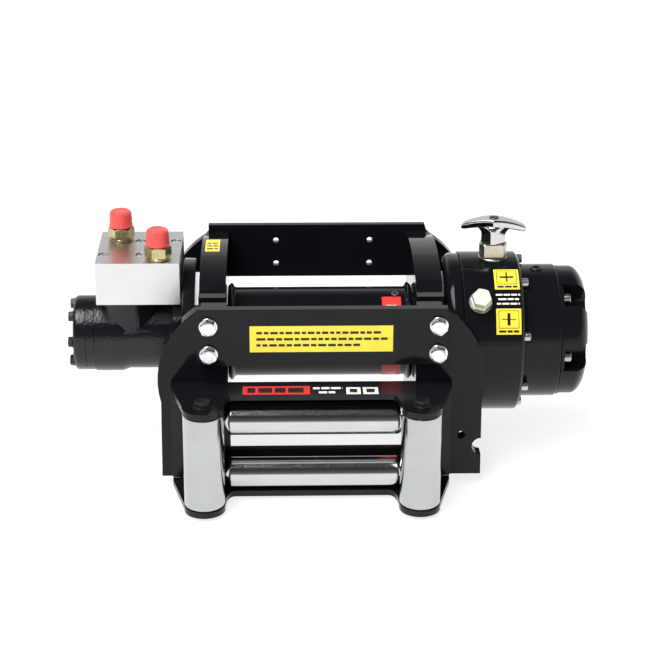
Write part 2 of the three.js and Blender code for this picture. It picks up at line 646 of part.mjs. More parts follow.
function fairleadBracket() {
  const FLANGE_FRONT = -176;
  const CHEEK_FRONT = -180;
  const NOTCH = { x: 178, half: 5, tall: 4 };
  const front = LEAD_BACK - SHEET;
  const [low, high] = [LEAD.low + 1, LEAD.top - 1];
  let body = block(LEAD.x - LEAD.half, LEAD.x + LEAD.half, front, LEAD_BACK, low, high)
    .subtract(block(WINDOW.x0, WINDOW.x1, front - 1, LEAD_BACK + 1, WINDOW.z0, WINDOW.z1))
    .add(flange(FLANGE_FRONT, LEAD.top - SHEET))
    .add(flange(FLANGE_FRONT, LEAD.low));
  for (const x of [LEVEL.x0 - GAP * 2 - SHEET, LEVEL.x1 + GAP * 2]) {
    body = body.add(block(x, x + SHEET, CHEEK_FRONT, LEAD_BACK - 1, low, high));
  }
  for (const side of [-1, 1]) {
    const notchX = LEAD.x + side * NOTCH.x;
    const notchLow = LEAD.low + SHEET;
    const pinAt = [LEAD.x + side * UPRIGHT.x, UPRIGHT.y, 0];
    body = body
      .subtract(block(notchX - NOTCH.half, notchX + NOTCH.half, front - 1, LEAD_BACK + 1, notchLow,
        notchLow + NOTCH.tall))
      .subtract(rod("z", PIN_R + GAP, LEAD.low - 1, LEAD.top + 1, SEG_SMALL, pinAt));
  }
  for (const z of LEVEL.z) {
    body = body.subtract(rod("x", PIN_R + GAP, LEVEL.x0 - 10, LEVEL.x1 + 10, SEG_SMALL, [0, LEVEL.y, z]));
  }
  return body;
}

function uprightRoller(centre) {
  const low = LEAD.low + SHEET + 0.7;
  const high = LEAD.top - SHEET - 0.7;
  const { r } = UPRIGHT;
  const EDGE = 1.5;
  return turned("z", [[ROLLER_BORE, low], [r - EDGE, low], [r, low + EDGE], [r, high - EDGE],
    [r - EDGE, high], [ROLLER_BORE, high]], SEG_LARGE, centre);
}

function uprightPin(centre) {
  return rod("z", PIN_R, LEAD.low - 1, LEAD.top + 1, SEG_SMALL, centre)
    .add(hexPrism("z", 21, LEAD.top + GAP, LEAD.top + 8.5, centre, 0.2))
    .add(rod("z", 11, LEAD.low - 4.5, LEAD.low - GAP, SEG_SMALL, centre));
}

function levelRoller(centre) {
  const SHOULDER = 6;
  const { r, x0, x1 } = LEVEL;
  return turned("x", [[ROLLER_BORE, x0], [r - SHOULDER, x0], [r, x0 + SHOULDER], [r, x1 - SHOULDER],
    [r - SHOULDER, x1], [ROLLER_BORE, x1]], SEG_LARGE, centre);
}

function levelPin(centre) {
  const HEAD = 3;
  const reach = GAP * 3 + SHEET;
  return rod("x", PIN_R, LEVEL.x0 - reach, LEVEL.x1 + reach, SEG_SMALL, centre)
    .add(rod("x", 10.5, LEVEL.x0 - reach - HEAD, LEVEL.x0 - reach, SEG_SMALL, centre))
    .add(rod("x", 10.5, LEVEL.x1 + reach, LEVEL.x1 + reach + HEAD, SEG_SMALL, centre));
}

add("fairlead_bracket", fairleadBracket(), paint());
for (const [side, word] of SIDES) {
  const centre = [LEAD.x + side * UPRIGHT.x, UPRIGHT.y, 0];
  add(`${word}_upright_roller`, uprightRoller(centre), chrome());
  add(`${word}_upright_pin`, uprightPin(centre), paint());
}
["upper", "lower"].forEach((word, i) => {
  const centre = [0, LEVEL.y, LEVEL.z[i]];
  add(`${word}_level_roller`, levelRoller(centre), chrome());
  add(`${word}_level_pin`, levelPin(centre), zinc());
});

// The origin is the middle of the winch's box.
winch.updateMatrixWorld(true);
const middle = new THREE.Box3().setFromObject(winch).getCenter(new THREE.Vector3());
winch.position.copy(middle.negate());
winch.name = "winch";

export default winch;
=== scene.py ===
"""The looks of a hydraulic recovery winch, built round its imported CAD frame.

Lengths are in mm round the drum axis until a mesh is made, and in metres after that. x = 0 is midway between
the side frames, and y = z = 0 is on the axis."""

import math
import random

import bmesh
import bpy
from mathutils import Matrix, Vector


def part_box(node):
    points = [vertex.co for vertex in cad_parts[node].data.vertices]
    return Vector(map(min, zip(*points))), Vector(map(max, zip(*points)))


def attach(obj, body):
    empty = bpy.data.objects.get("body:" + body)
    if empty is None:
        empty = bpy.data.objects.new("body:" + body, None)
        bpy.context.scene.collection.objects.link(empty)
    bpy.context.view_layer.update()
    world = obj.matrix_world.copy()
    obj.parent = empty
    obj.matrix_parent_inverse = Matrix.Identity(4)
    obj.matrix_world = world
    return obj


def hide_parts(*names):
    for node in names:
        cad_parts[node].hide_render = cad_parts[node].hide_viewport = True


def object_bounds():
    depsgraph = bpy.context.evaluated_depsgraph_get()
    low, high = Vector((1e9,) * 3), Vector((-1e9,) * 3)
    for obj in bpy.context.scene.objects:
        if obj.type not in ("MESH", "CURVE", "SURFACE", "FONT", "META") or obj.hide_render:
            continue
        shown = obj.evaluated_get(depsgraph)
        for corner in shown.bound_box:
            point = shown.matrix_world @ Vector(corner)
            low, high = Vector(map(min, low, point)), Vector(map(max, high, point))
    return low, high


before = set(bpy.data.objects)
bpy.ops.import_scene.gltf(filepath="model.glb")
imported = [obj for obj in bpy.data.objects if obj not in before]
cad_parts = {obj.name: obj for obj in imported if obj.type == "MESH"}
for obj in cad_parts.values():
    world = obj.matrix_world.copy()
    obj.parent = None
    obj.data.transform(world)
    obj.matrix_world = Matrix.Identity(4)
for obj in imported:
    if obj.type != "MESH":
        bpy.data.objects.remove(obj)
CAD_LOW, CAD_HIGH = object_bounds()

MM = 0.001
AXIS = sum(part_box("drum"), Vector()) / 2
X, Y, Z = Vector((1, 0, 0)), Vector((0, 1, 0)), Vector((0, 0, 1))
ROUND = 120  # sides of a large round
SMALL_ROUND = 48
HEX_CHAMFER = 0.95  # a hexagon's flat top, as a part of its width across flats

# The camera, in metres from the middle of the drum, and its turns about X, Y and Z in degrees.
CAMERA_AT = Vector((-0.05443, -2.35176, 0.97376))
CAMERA_TURNS = (67.688, -0.201, -1.422)
LENS = 103.81
SENSOR = 36

FLOOR_HALF = 10
FLOOR_DROP = 0.0005
FLOOR_GREY = 0.3
FLOOR_GLOW = 0.78

# The strengths of the studio's zones.
CEILING = 0.03
HAZE = (0.22, 0.03)  # in front, from the horizon upwards
SOFT_ZONE = 0.72  # over the edge of the back wall
SOFT_BOX = 12.0  # overhead, on the left
WALL_EDGE = (0.10, 0.454)  # its height in front and behind, as the z of a direction


def span(node):
    """A CAD node's lowest and highest corners, in mm round the drum axis."""
    return [(corner - AXIS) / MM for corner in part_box(node)]


# ---------- camera, floor, world and lights ----------
def make_camera():
    data = bpy.data.cameras.new("camera")
    data.sensor_width = SENSOR
    data.lens = LENS
    camera = bpy.data.objects.new("camera", data)
    bpy.context.scene.collection.objects.link(camera)
    camera.location = AXIS + CAMERA_AT
    camera.rotation_euler = [math.radians(turn) for turn in CAMERA_TURNS]
    bpy.context.scene.camera = camera


def area_light(name, place, size, watts):
    data = bpy.data.lights.new(name, "AREA")
    data.shape = "DISK"
    data.size = size
    data.energy = watts
    light = bpy.data.objects.new(name, data)
    bpy.context.scene.collection.objects.link(light)
    light.location = AXIS + Vector(place)
    light.rotation_euler = (-Vector(place)).to_track_quat("-Z", "Y").to_euler()
    light.visible_glossy = False
    light.visible_camera = False


def make_floor():
    half = FLOOR_HALF
    low = CAD_LOW.z - FLOOR_DROP
    mesh = bpy.data.meshes.new("floor")
    corners = [(-half, -half, low), (half, -half, low), (half, half, low), (-half, half, low)]
    mesh.from_pydata(corners, [], [(0, 1, 2, 3)])
    floor = bpy.data.objects.new("floor", mesh)
    bpy.context.scene.collection.objects.link(floor)
    mat = bpy.data.materials.new("pale_floor")
    mat.use_nodes = True
    shader = mat.node_tree.nodes["Principled BSDF"]
    shader.inputs["Base Color"].default_value = (FLOOR_GREY, FLOOR_GREY, FLOOR_GREY, 1)
    shader.inputs["Roughness"].default_value = 1
    shader.inputs["Specular IOR Level"].default_value = 0
    shader.inputs["Emission Color"].default_value = (1, 1, 1, 1)
    shader.inputs["Emission Strength"].default_value = FLOOR_GLOW
    mesh.materials.append(mat)


def math_node(tree, operation, a, b=None):
    node = tree.nodes.new("ShaderNodeMath")
    node.operation = operation
    for socket, value in zip(node.inputs, (a, b)):
        if value is None:
            continue
        if isinstance(value, (int, float)):
            socket.default_value = value
        else:
            tree.links.new(value, socket)
    return node.outputs[0]


def map_range(tree, value, from_low, from_high, to_low, to_high):
    node = tree.nodes.new("ShaderNodeMapRange")
    tree.links.new(value, node.inputs[0])
    for socket, number in zip(node.inputs[1:5], (from_low, from_high, to_low, to_high)):
        socket.default_value = number
    return node.outputs[0]


def make_world():
    """A bright wall up to a sharp edge, a softer zone over it, a dim ceiling and a soft box.

    These zones light the winch and show in its reflections. The background itself is plain white."""
    world = bpy.data.worlds.new("studio")
    bpy.context.scene.world = world
    world.use_nodes = True
    tree = world.node_tree
    tree.nodes.clear()
    coords = tree.nodes.new("ShaderNodeTexCoord")
    split = tree.nodes.new("ShaderNodeSeparateXYZ")
    tree.links.new(coords.outputs["Generated"], split.inputs[0])
    edge = map_range(tree, split.outputs[1], -0.15, 0.5, *WALL_EDGE)
    above = math_node(tree, "SUBTRACT", split.outputs[2], edge)
    wall = map_range(tree, above, -0.01, 0.01, 1.0, 0.0)
    front = map_range(tree, split.outputs[1], -0.1, 0.25, 1.0, 0.0)
    haze = math_node(tree, "MULTIPLY", front, map_range(tree, above, 0.0, 0.5, *HAZE))
    lifted = map_range(tree, split.outputs[2], 0.02, 0.12, 0.0, 1.0)
    haze = math_node(tree, "MULTIPLY", haze, lifted)
    behind = map_range(tree, split.outputs[1], 0.2, 0.5, 0.0, 1.0)
    soft = math_node(tree, "MULTIPLY", behind, map_range(tree, above, 0.0, 0.36, SOFT_ZONE, 0.0))
    left = map_range(tree, split.outputs[0], -0.096, -0.108, 0.0, 1.0)
    high = map_range(tree, split.outputs[2], 0.76, 0.84, 0.0, 1.0)
    forward = map_range(tree, split.outputs[1], 0.06, -0.02, 0.0, 1.0)
    box = math_node(tree, "MULTIPLY", math_node(tree, "MULTIPLY", left, high), forward)
    box = math_node(tree, "MULTIPLY", box, SOFT_BOX)
    glow = math_node(tree, "MAXIMUM", wall, math_node(tree, "ADD", haze, CEILING))
    glow = math_node(tree, "MAXIMUM", glow, soft)
    glow = math_node(tree, "ADD", glow, box)
    path = tree.nodes.new("ShaderNodeLightPath")
    seen = math_node(tree, "MAXIMUM", glow, path.outputs["Is Camera Ray"])
    background = tree.nodes.new("ShaderNodeBackground")
    tree.links.new(seen, background.inputs["Strength"])
    output = tree.nodes.new("ShaderNodeOutputWorld")
    tree.links.new(background.outputs[0], output.inputs[0])


bpy.context.scene.view_settings.view_transform = "Standard"
make_camera()
make_floor()
make_world()
area_light("key", (-1.3, -3.4, 2.9), 2.6, 128)
area_light("top", (0.5, 0.4, 3.2), 3.0, 34)
area_light("back", (0.8, 3.6, 2.2), 2.6, 40)


# ---------- materials ----------
def noise(tree, vector, scale, detail=3.0, roughness=0.5):
    node = tree.nodes.new("ShaderNodeTexNoise")
    tree.links.new(vector, node.inputs["Vector"])
    node.inputs["Scale"].default_value = scale
    node.inputs["Detail"].default_value = detail
    node.inputs["Roughness"].default_value = roughness
    return node.outputs["Fac"]


def blend_colour(tree, factor, a, b):
    node = tree.nodes.new("ShaderNodeMix")
    node.data_type = "RGBA"
    tree.links.new(factor, node.inputs["Factor"])
    for socket, value in ((node.inputs[6], a), (node.inputs[7], b)):
        if isinstance(value, tuple):
            socket.default_value = (*value, 1)
        else:
            tree.links.new(value, socket)
    return node.outputs[2]


def stretched(tree, coords, scale):
    mapping = tree.nodes.new("ShaderNodeMapping")
    mapping.inputs["Scale"].default_value = scale
    tree.links.new(coords, mapping.inputs["Vector"])
    return mapping.outputs[0]


def finish(name, base, rough, metal=0.0, level=0.5, tint=0.12, patches=25, spread=0.06, grain=(900, 0.00001),
           brush=None, brush_depth=0.000004, edge_wear_and_highlight=None, edge_wear_and_highlight_width=0.0007):
    """A procedural finish.

    grain is (scale, depth in m) of the surface texture. brush is the stretch of machining or plating lines.
    The edge colour shows in broken patches along the edges: partly wear, and partly a painted highlight where
    light catches them."""
    mat = bpy.data.materials.new(name)
    mat.use_nodes = True
    tree = mat.node_tree
    shader = tree.nodes["Principled BSDF"]
    coords = tree.nodes.new("ShaderNodeTexCoord").outputs["Object"]
    cloud = noise(tree, coords, patches, 4)
    darker = tuple(c * (1 - tint) for c in base)
    lighter = tuple(min(1, c * (1 + tint)) for c in base)
    colour = blend_colour(tree, map_range(tree, cloud, 0.3, 0.7, 0, 1), darker, lighter)
    low, high = max(0.02, rough - spread), rough + spread
    fine = noise(tree, coords, patches * 9, 4)
    roughness = map_range(tree, fine, 0.3, 0.7, low, high)
    geometry = tree.nodes.new("ShaderNodeNewGeometry")
    # Lighter broken patches along the edges: partly wear, and partly a painted highlight where light catches
    # the edges.
    if edge_wear_and_highlight:
        rounded = tree.nodes.new("ShaderNodeBevel")
        rounded.samples = 4
        rounded.inputs["Radius"].default_value = edge_wear_and_highlight_width
        facing = tree.nodes.new("ShaderNodeVectorMath")
        facing.operation = "DOT_PRODUCT"
        tree.links.new(rounded.outputs[0], facing.inputs[0])
        tree.links.new(geometry.outputs["Normal"], facing.inputs[1])
        rim = map_range(tree, facing.outputs["Value"], 0.985, 0.90, 0, 1)
        broken = map_range(tree, noise(tree, coords, 150, 5, 0.65), 0.48, 0.6, 0, 1)
        edge_wear_and_highlight_mask = math_node(tree, "MULTIPLY", rim, broken)
        colour = blend_colour(tree, edge_wear_and_highlight_mask, colour, edge_wear_and_highlight)
    tree.links.new(colour, shader.inputs["Base Color"])
    tree.links.new(roughness, shader.inputs["Roughness"])
    height = noise(tree, coords, grain[0], 3)
    bump = tree.nodes.new("ShaderNodeBump")
    bump.inputs["Strength"].default_value = 1
    bump.inputs["Distance"].default_value = grain[1]
    tree.links.new(height, bump.inputs["Height"])
    if brush:
        lines = noise(tree, stretched(tree, coords, brush), 1, 2)
        second = tree.nodes.new("ShaderNodeBump")
        second.inputs["Strength"].default_value = 1
        second.inputs["Distance"].default_value = brush_depth
        tree.links.new(lines, second.inputs["Height"])
        tree.links.new(bump.outputs[0], second.inputs["Normal"])
        bump = second
    tree.links.new(bump.outputs[0], shader.inputs["Normal"])
    shader.inputs["Metallic"].default_value = metal
    shader.inputs["Specular IOR Level"].default_value = level
    return mat


LATHE_X = (2600, 25, 25)
LATHE_Z = (25, 25, 2600)
MILLED = (60, 2400, 60)

# The lighter edge colours of the three black paints are a painted highlight along their edges, with a little
# wear.
PAINT = finish("gloss_black_paint", (0.0055, 0.0062, 0.0078), 0.09, level=0.22, tint=0.1,
               spread=0.025, grain=(480, 0.000006), edge_wear_and_highlight=(0.03, 0.031, 0.033))
SATIN = finish("satin_black_paint", (0.0065, 0.0072, 0.0085), 0.22, level=0.28, tint=0.12, spread=0.05,
               grain=(420, 0.00001), edge_wear_and_highlight=(0.035, 0.036, 0.038))
CAST = finish("cast_black_paint", (0.006, 0.007, 0.0095), 0.14, level=0.42, tint=0.2, spread=0.06,
              grain=(300, 0.0004), edge_wear_and_highlight=(0.04, 0.042, 0.045))
CHROME_X = finish("chrome_level", (0.60, 0.61, 0.62), 0.12, 1, tint=0.04, spread=0.03,
                  grain=(300, 0.000002), brush=LATHE_X, brush_depth=0.0000012)
CHROME_Z = finish("chrome_upright", (0.50, 0.51, 0.52), 0.12, 1, tint=0.04, spread=0.03,
                  grain=(300, 0.000002), brush=LATHE_Z, brush_depth=0.0000012)
CHROME = finish("chrome_cast", (0.63, 0.64, 0.65), 0.10, 1, tint=0.04, spread=0.04, grain=(160, 0.00002))
ZINC = finish("bright_zinc", (0.86, 0.88, 0.89), 0.24, 1, tint=0.07, patches=90, spread=0.08,
              grain=(1200, 0.00001), edge_wear_and_highlight=(0.95, 0.95, 0.95))
DULL_ZINC = finish("warm_zinc", (0.62, 0.57, 0.47), 0.28, 1, tint=0.1, patches=90, spread=0.08,
                   grain=(1000, 0.00001), edge_wear_and_highlight=(0.8, 0.78, 0.72))
MILLED_STEEL = finish("milled_block", (0.76, 0.77, 0.75), 0.36, 1, tint=0.025, patches=9, spread=0.03,
                      grain=(500, 0.000001), brush=MILLED, brush_depth=0.0000015, edge_wear_and_highlight=(0.95, 0.95, 0.95))
YELLOW_ZINC = finish("yellow_zinc", (0.58, 0.49, 0.26), 0.26, 1, tint=0.16, patches=70, spread=0.08,
                     grain=(900, 0.00001), edge_wear_and_highlight=(0.75, 0.70, 0.5))
STEEL = finish("machined_steel", (0.42, 0.43, 0.44), 0.32, 1, tint=0.1, patches=60, spread=0.08,
               brush=LATHE_X, edge_wear_and_highlight=(0.6, 0.6, 0.6))
SCREW_ZINC = finish("screw_zinc", (0.52, 0.51, 0.48), 0.32, 1, tint=0.15, patches=120, spread=0.08,
                    grain=(1400, 0.00001), edge_wear_and_highlight=(0.75, 0.74, 0.72))
DARK_STEEL = finish("black_oxide_steel", (0.045, 0.045, 0.048), 0.33, 0.8, tint=0.2, patches=90, spread=0.08,
                    edge_wear_and_highlight=(0.2, 0.2, 0.2))
BRONZE = finish("bearing_bronze", (0.48, 0.30, 0.12), 0.35, 1, tint=0.15, patches=60, brush=LATHE_X)
RUBBER = finish("seal_rubber", (0.02, 0.02, 0.021), 0.62, tint=0.2, patches=80, grain=(1500, 0.00003))
CAP_RED = finish("cap_plastic", (0.83, 0.085, 0.075), 0.36, level=0.45, tint=0.06, patches=60, spread=0.05,
                 grain=(1500, 0.00002), edge_wear_and_highlight=(0.95, 0.25, 0.22))
PLUG_CREAM = finish("plug_plastic", (0.84, 0.81, 0.62), 0.34, level=0.45, tint=0.05, patches=80, spread=0.06,
                    grain=(1300, 0.00002), edge_wear_and_highlight=(0.93, 0.92, 0.82))


def print_finish(name, base):
    return finish(name, base, 0.38, level=0.4, tint=0.05, patches=40, spread=0.06, grain=(1600, 0.000006))


YELLOW_FILM = print_finish("label_yellow", (0.90, 0.70, 0.055))
RED_FILM = print_finish("label_red", (0.75, 0.03, 0.03))
WHITE_FILM = print_finish("label_white", (0.82, 0.81, 0.77))
INK = print_finish("label_ink", (0.012, 0.012, 0.013))


# ---------- shapes: (points, faces) in mm ----------
def turned(rings, axis=X, first=-Y, centre=(0, 0, 0), sides=ROUND, closed=False, start=0.0):
    """A round shape about an axis.

    Each ring is (place along the axis, radius), or a function of the angle that gives them. An angle runs
    from first towards axis x first. A closed shape's last ring joins its first."""
    along = axis.normalized()
    first = (first - along * first.dot(along)).normalized()
    second = first.cross(along)
    centre = Vector(centre)
    points, loops = [], []
    for ring in rings:
        loop = []
        for i in range(sides):
            angle = 2 * math.pi * i / sides
            place, radius = ring(angle) if callable(ring) else ring
            if radius < 1e-6 and loop:
                loop.append(loop[0])
                continue
            turn = start + angle
            outward = first * math.cos(turn) + second * math.sin(turn)
            loop.append(len(points))
            points.append(centre + along * place + outward * radius)
        loops.append(loop)
    pairs = list(zip(loops, loops[1:]))
    if closed:
        pairs.append((loops[-1], loops[0]))
    faces = []
    for a, b in pairs:
        for i in range(sides):
            j = (i + 1) % sides
            face = []
            for index in (a[i], a[j], b[j], b[i]):
                if index not in face:
                    face.append(index)
            if len(face) > 2:
                faces.append(face)
    return points, faces


def hex_radius(flats):
    return lambda angle: flats / 2 / math.cos((angle + math.pi / 6) % (math.pi / 3) - math.pi / 6)


def hex_rings(flats, low, high):
    """The rings of a hexagon head with its chamfer."""
    radius = hex_radius(flats)
    crown = flats / 2 * HEX_CHAMFER

    def chamfered(angle):
        return high - (radius(angle) - crown) * math.tan(math.radians(30)), radius(angle)
    return [(low, 0), lambda a: (low, radius(a)), chamfered, (high, crown), (high, 0)]


def socket_rings(r, low, high, key, depth, edge=0.8):
    """The rings of a round screw head with a hexagon socket."""
    radius = hex_radius(key)
    return [(low, 0), (low, r), (high - edge, r), (high, r - edge), lambda a: (high, radius(a) + 0.3),
            lambda a: (high - 0.4, radius(a)), lambda a: (high - depth, radius(a)), (high - depth, 0)]


def prism(outline, normal, low, high):
    """A flat outline of 3-D points taken from low to high along a normal."""
    count = len(outline)
    points = [Vector(p) + normal * low for p in outline] + [Vector(p) + normal * high for p in outline]
    faces = [list(range(count)), list(range(2 * count - 1, count - 1, -1))]
    faces += [[i, (i + 1) % count, (i + 1) % count + count, i + count] for i in range(count)]
    return points, faces


def block(low, high):
    outline = [(low[0], low[1], 0), (high[0], low[1], 0), (high[0], high[1], 0), (low[0], high[1], 0)]
    return prism(outline, Z, low[2], high[2])


def loft(sections):
    """A closed shape through loops of points."""
    count = len(sections[0])
    points = [Vector(p) for section in sections for p in section]
    faces = [list(range(count)), list(range(len(points) - 1, len(points) - count - 1, -1))]
    for s in range(len(sections) - 1):
        for i in range(count):
            j = (i + 1) % count
            faces.append([s * count + i, s * count + j, (s + 1) * count + j, (s + 1) * count + i])
    return points, faces


def patch(surface, u0, u1, v0, v1, low, high, steps=1):
    """A thin patch on a surface, which is a function of u, v and the height above it."""
    points = []
    for height in (low, high):
        for i in range(steps + 1):
            v = v0 + (v1 - v0) * i / steps
            points += [surface(u0, v, height), surface(u1, v, height)]
    base = 2 * (steps + 1)
    faces = [[0, 1, base + 1, base], [base - 2, base - 1, 2 * base - 1, 2 * base - 2]]
    for i in range(steps):
        k = 2 * i
        faces += [[k, k + 1, k + 3, k + 2], [base + k, base + k + 1, base + k + 3, base + k + 2]]
        faces += [[k, k + 2, base + k + 2, base + k], [k + 1, k + 3, base + k + 3, base + k + 1]]
    return points, faces


def strip(surface, a, b, width, low=0.15, high=0.3, steps=8):
    """A thin straight line on a surface from a to b."""
    (u0, v0), (u1, v1) = a, b
    length = math.hypot(u1 - u0, v1 - v0)
    across = ((v0 - v1) / length * width / 2, (u1 - u0) / length * width / 2)

    def on_line(u, v, h):
        t = v / length
        return surface(u0 + (u1 - u0) * t + across[0] * u, v0 + (v1 - v0) * t + across[1] * u, h)
    return patch(on_line, -1, 1, 0, length, low, high, steps)


def words(surface, rows, tall, low, high, rng, block=(5, 12), gap=2.2, steps=1):
    """Rows of plain bars that stand for print, with no letters in them. A row is (u0, u1, v)."""
    shapes = []
    for u0, u1, v in rows:
        u = u0
        while u < u1:
            end = min(u1, u + rng.uniform(*block))
            shapes.append(patch(surface, u, end, v - tall / 2, v + tall / 2, low, high, steps))
            u = end + gap
    return shapes


def frame_lines(surface, u0, u1, v0, v1, width, low=0.15, high=0.3):
    corners = [(u0, v0), (u1, v0), (u1, v1), (u0, v1)]
    return [strip(surface, a, b, width, low, high) for a, b in zip(corners, corners[1:] + corners[:1])]


def front_of(y):
    return lambda u, v, h: (u, y - h, v)


def top_of(z):
    return lambda u, v, h: (u, v, z + h)


def round_of(r):
    """v is the length of arc from the front towards the top."""
    def place(u, v, h):
        angle = v / r
        return (u, -(r + h) * math.cos(angle), (r + h) * math.sin(angle))
    return place


def raw(shape):
    """A bare mesh object of a shape, with its faces turned outwards. Its units stay mm."""
    points, faces = shape
    mesh = bpy.data.meshes.new("raw")
    mesh.from_pydata([tuple(p) for p in points], [], faces)
    bm = bmesh.new()
    bm.from_mesh(mesh)
    bmesh.ops.remove_doubles(bm, verts=bm.verts, dist=1e-4)
    bmesh.ops.recalc_face_normals(bm, faces=bm.faces)
    bm.to_mesh(mesh)
    bm.free()
    obj = bpy.data.objects.new("raw", mesh)
    bpy.context.scene.collection.objects.link(obj)
    return obj


def evaluated(obj):
    """The shape of an object with its modifiers applied. The object is removed."""
    mesh = bpy.data.meshes.new_from_object(obj.evaluated_get(bpy.context.evaluated_depsgraph_get()))
    shape = ([v.co.copy() for v in mesh.vertices], [list(p.vertices) for p in mesh.polygons])
    bpy.data.objects.remove(obj)
    bpy.data.meshes.remove(mesh)
    return shape


def combine(base, others, operation):
    """The base joined with the others (UNION) or cut by them (DIFFERENCE)."""
    target = raw(base)
    tools = [raw(other) for other in others]
    for tool in tools:
        step = target.modifiers.new("step", "BOOLEAN")
        step.operation = operation
        step.solver = "EXACT"
        step.object = tool
    shape = evaluated(target)
    for tool in tools:
        bpy.data.objects.remove(tool)
    return shape


def softened(shape, voxel, passes):
    """The shape remeshed evenly and smoothed, as a casting's edges are."""
    obj = raw(shape)
    remesh = obj.modifiers.new("remesh", "REMESH")
    remesh.mode = "VOXEL"
    remesh.voxel_size = voxel
    smooth = obj.modifiers.new("smooth", "SMOOTH")
    smooth.factor = 0.5
    smooth.iterations = passes
    return evaluated(obj)


def make(name, shapes, mat, body="root", stands_for=(), bevel=0.0, segments=2, smooth=35):
    """One piece from shapes in mm. It rides on a body, and may stand for CAD nodes."""
    obj = raw(([p for s in shapes for p in s[0]], joined_faces(shapes)))
    obj.name = name
    obj.data.name = name
    obj.data.transform(Matrix.Translation(AXIS) @ Matrix.Scale(MM, 4))
    obj.data.materials.append(mat)
    obj.data.polygons.foreach_set("use_smooth", [True] * len(obj.data.polygons))
    if bevel:
        round_edges(obj, bevel, segments)
    else:
        obj.data.set_sharp_from_angle(angle=math.radians(smooth))
    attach(obj, body)
    if stands_for:
        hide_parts(*stands_for)
    return obj


def joined_faces(shapes):
    faces, base = [], 0
    for points, shape_faces in shapes:
        faces += [[i + base for i in face] for face in shape_faces]
        base += len(points)
    return faces


def round_edges(obj, width, segments=2):
    edge = obj.modifiers.new("edge", "BEVEL")
    edge.width = width * MM
    edge.segments = segments
    edge.limit_method = "ANGLE"
    edge.angle_limit = math.radians(32)
    edge.use_clamp_overlap = True
    edge.miter_outer = "MITER_ARC"
    normals = obj.modifiers.new("normals", "WEIGHTED_NORMAL")
    normals.keep_sharp = True


def keep(node, mat, bevel):
    """A CAD node that stays, with small rounded edges and its finish."""
    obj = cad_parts[node]
    obj.data.materials.clear()
    obj.data.materials.append(mat)
    obj.data.polygons.foreach_set("use_smooth", [True] * len(obj.data.polygons))
    if bevel:
        weld = obj.modifiers.new("weld", "WELD")
        weld.merge_threshold = 0.00001
        flat = obj.modifiers.new("flat", "DECIMATE")
        flat.decimate_type = "DISSOLVE"
        flat.angle_limit = math.radians(0.4)
        round_edges(obj, bevel)
    return obj


# ---------- CAD nodes that stay ----------
KEPT = {
    "left_side_frame": (PAINT, 1.6), "right_side_frame": (PAINT, 1.6), "front_tie_plate": (PAINT, 1.0),
    "rear_tie_plate": (PAINT, 1.0), "fairlead_bracket": (SATIN, 1.0),
    "left_drum_bushing": (BRONZE, 0), "right_drum_bushing": (BRONZE, 0), "motor_shaft_seal": (RUBBER, 0),
}
INSIDE = ["output_carrier", "output_planet_1", "output_planet_2", "output_planet_3", "output_ring_gear",
          "intermediate_carrier", "input_planet_1", "input_planet_2", "input_planet_3", "input_ring_gear",
          "input_sun_gear", "drive_shaft", "gerotor_star", "cardan_link", "motor_shaft", "shaft_coupling",
          "clutch_pin"]
for node, (mat, bevel) in KEPT.items():
    keep(node, mat, bevel)
for node in INSIDE:
    keep(node, STEEL, 0)


# ---------- drum ----------
DRUM_R = 60
DRUM_HALF = [(90, 44), (96, 30), (153, 30), (153, 35.7), (123.2, 35.7), (123.2, 62), (119.6, 65.4),
             (118.4, 65.8), (116.6, 64.8), (114.4, 60.9), (112.5, DRUM_R)]


def make_drum():
    rings = DRUM_HALF + [(-x, r) for x, r in reversed(DRUM_HALF)]
    make("drum_shell", [turned(rings, closed=True)], PAINT, "drum_body", ["drum"], 0.5)
    radial = Vector((0, -math.cos(math.radians(78)), math.sin(math.radians(78))))
    screw = turned(socket_rings(5.2, DRUM_R - 2, DRUM_R + 0.5, 5, 2), radial, X, (100.8, 0, 0), SMALL_ROUND)
    make("rope_set_screw", [screw], ZINC, "drum_body")
    shell = round_of(DRUM_R)
    make("drum_mark", [patch(shell, 82.5, 108, -69, 74, 0.02, 0.2, 48)], RED_FILM,
         "drum_body")
    marks = [strip(shell, (88, v), (102, v), 2.4) for v in (-60, -52, 50, 58)]
    make("drum_mark_lines", marks, WHITE_FILM, "drum_body")


make_drum()


# ---------- bolts of the tie plates ----------
BOLT_FLATS = 19
BOLT_HEIGHT = 10.5  # of the head and its washer


def tie_bolt(node):
    low, high = span(node)
    outward = -Y if low.y < 0 else Y
    centre = Vector(((low.x + high.x) / 2, 0, (low.z + high.z) / 2))
    top = max(low.dot(outward), high.dot(outward))
    face = top - BOLT_HEIGHT
    washer = [(face, 0), (face, 11.4), (face + 0.6, 12), (face + 1.9, 12), (face + 2.5, 11.4),
              (face + 2.5, 0)]
    head = hex_rings(BOLT_FLATS, face + 2.4, top)
    head[-2:] = [(top, 8.3), (top - 0.5, 7.8), (top - 0.5, 0)]
    depth = min(low.dot(outward), high.dot(outward))
    shank = [(depth, 0), (depth + 1, 5), (depth + 2, 6), (face + 0.4, 6), (face + 0.4, 0)]
    shapes = [turned(rings, outward, Z, centre, SMALL_ROUND, start=turn)
              for rings, turn in ((washer, 0), (head, 0.3), (shank, 0))]
    make(node + "_detail", shapes, ZINC, "root", [node], 0.25)


for end in ("front", "rear"):
    for side in ("left", "right"):
        for index in (1, 2):
            tie_bolt(f"{end}_tie_bolt_{side}_{index}")


# ---------- gearbox ----------
def sector(count, first):
    """Outward directions evenly round the X axis, in degrees from the front towards the top."""
    for i in range(count):
        angle = math.radians(first + 360 / count * i)
        yield Vector((0, -math.cos(angle), math.sin(angle)))


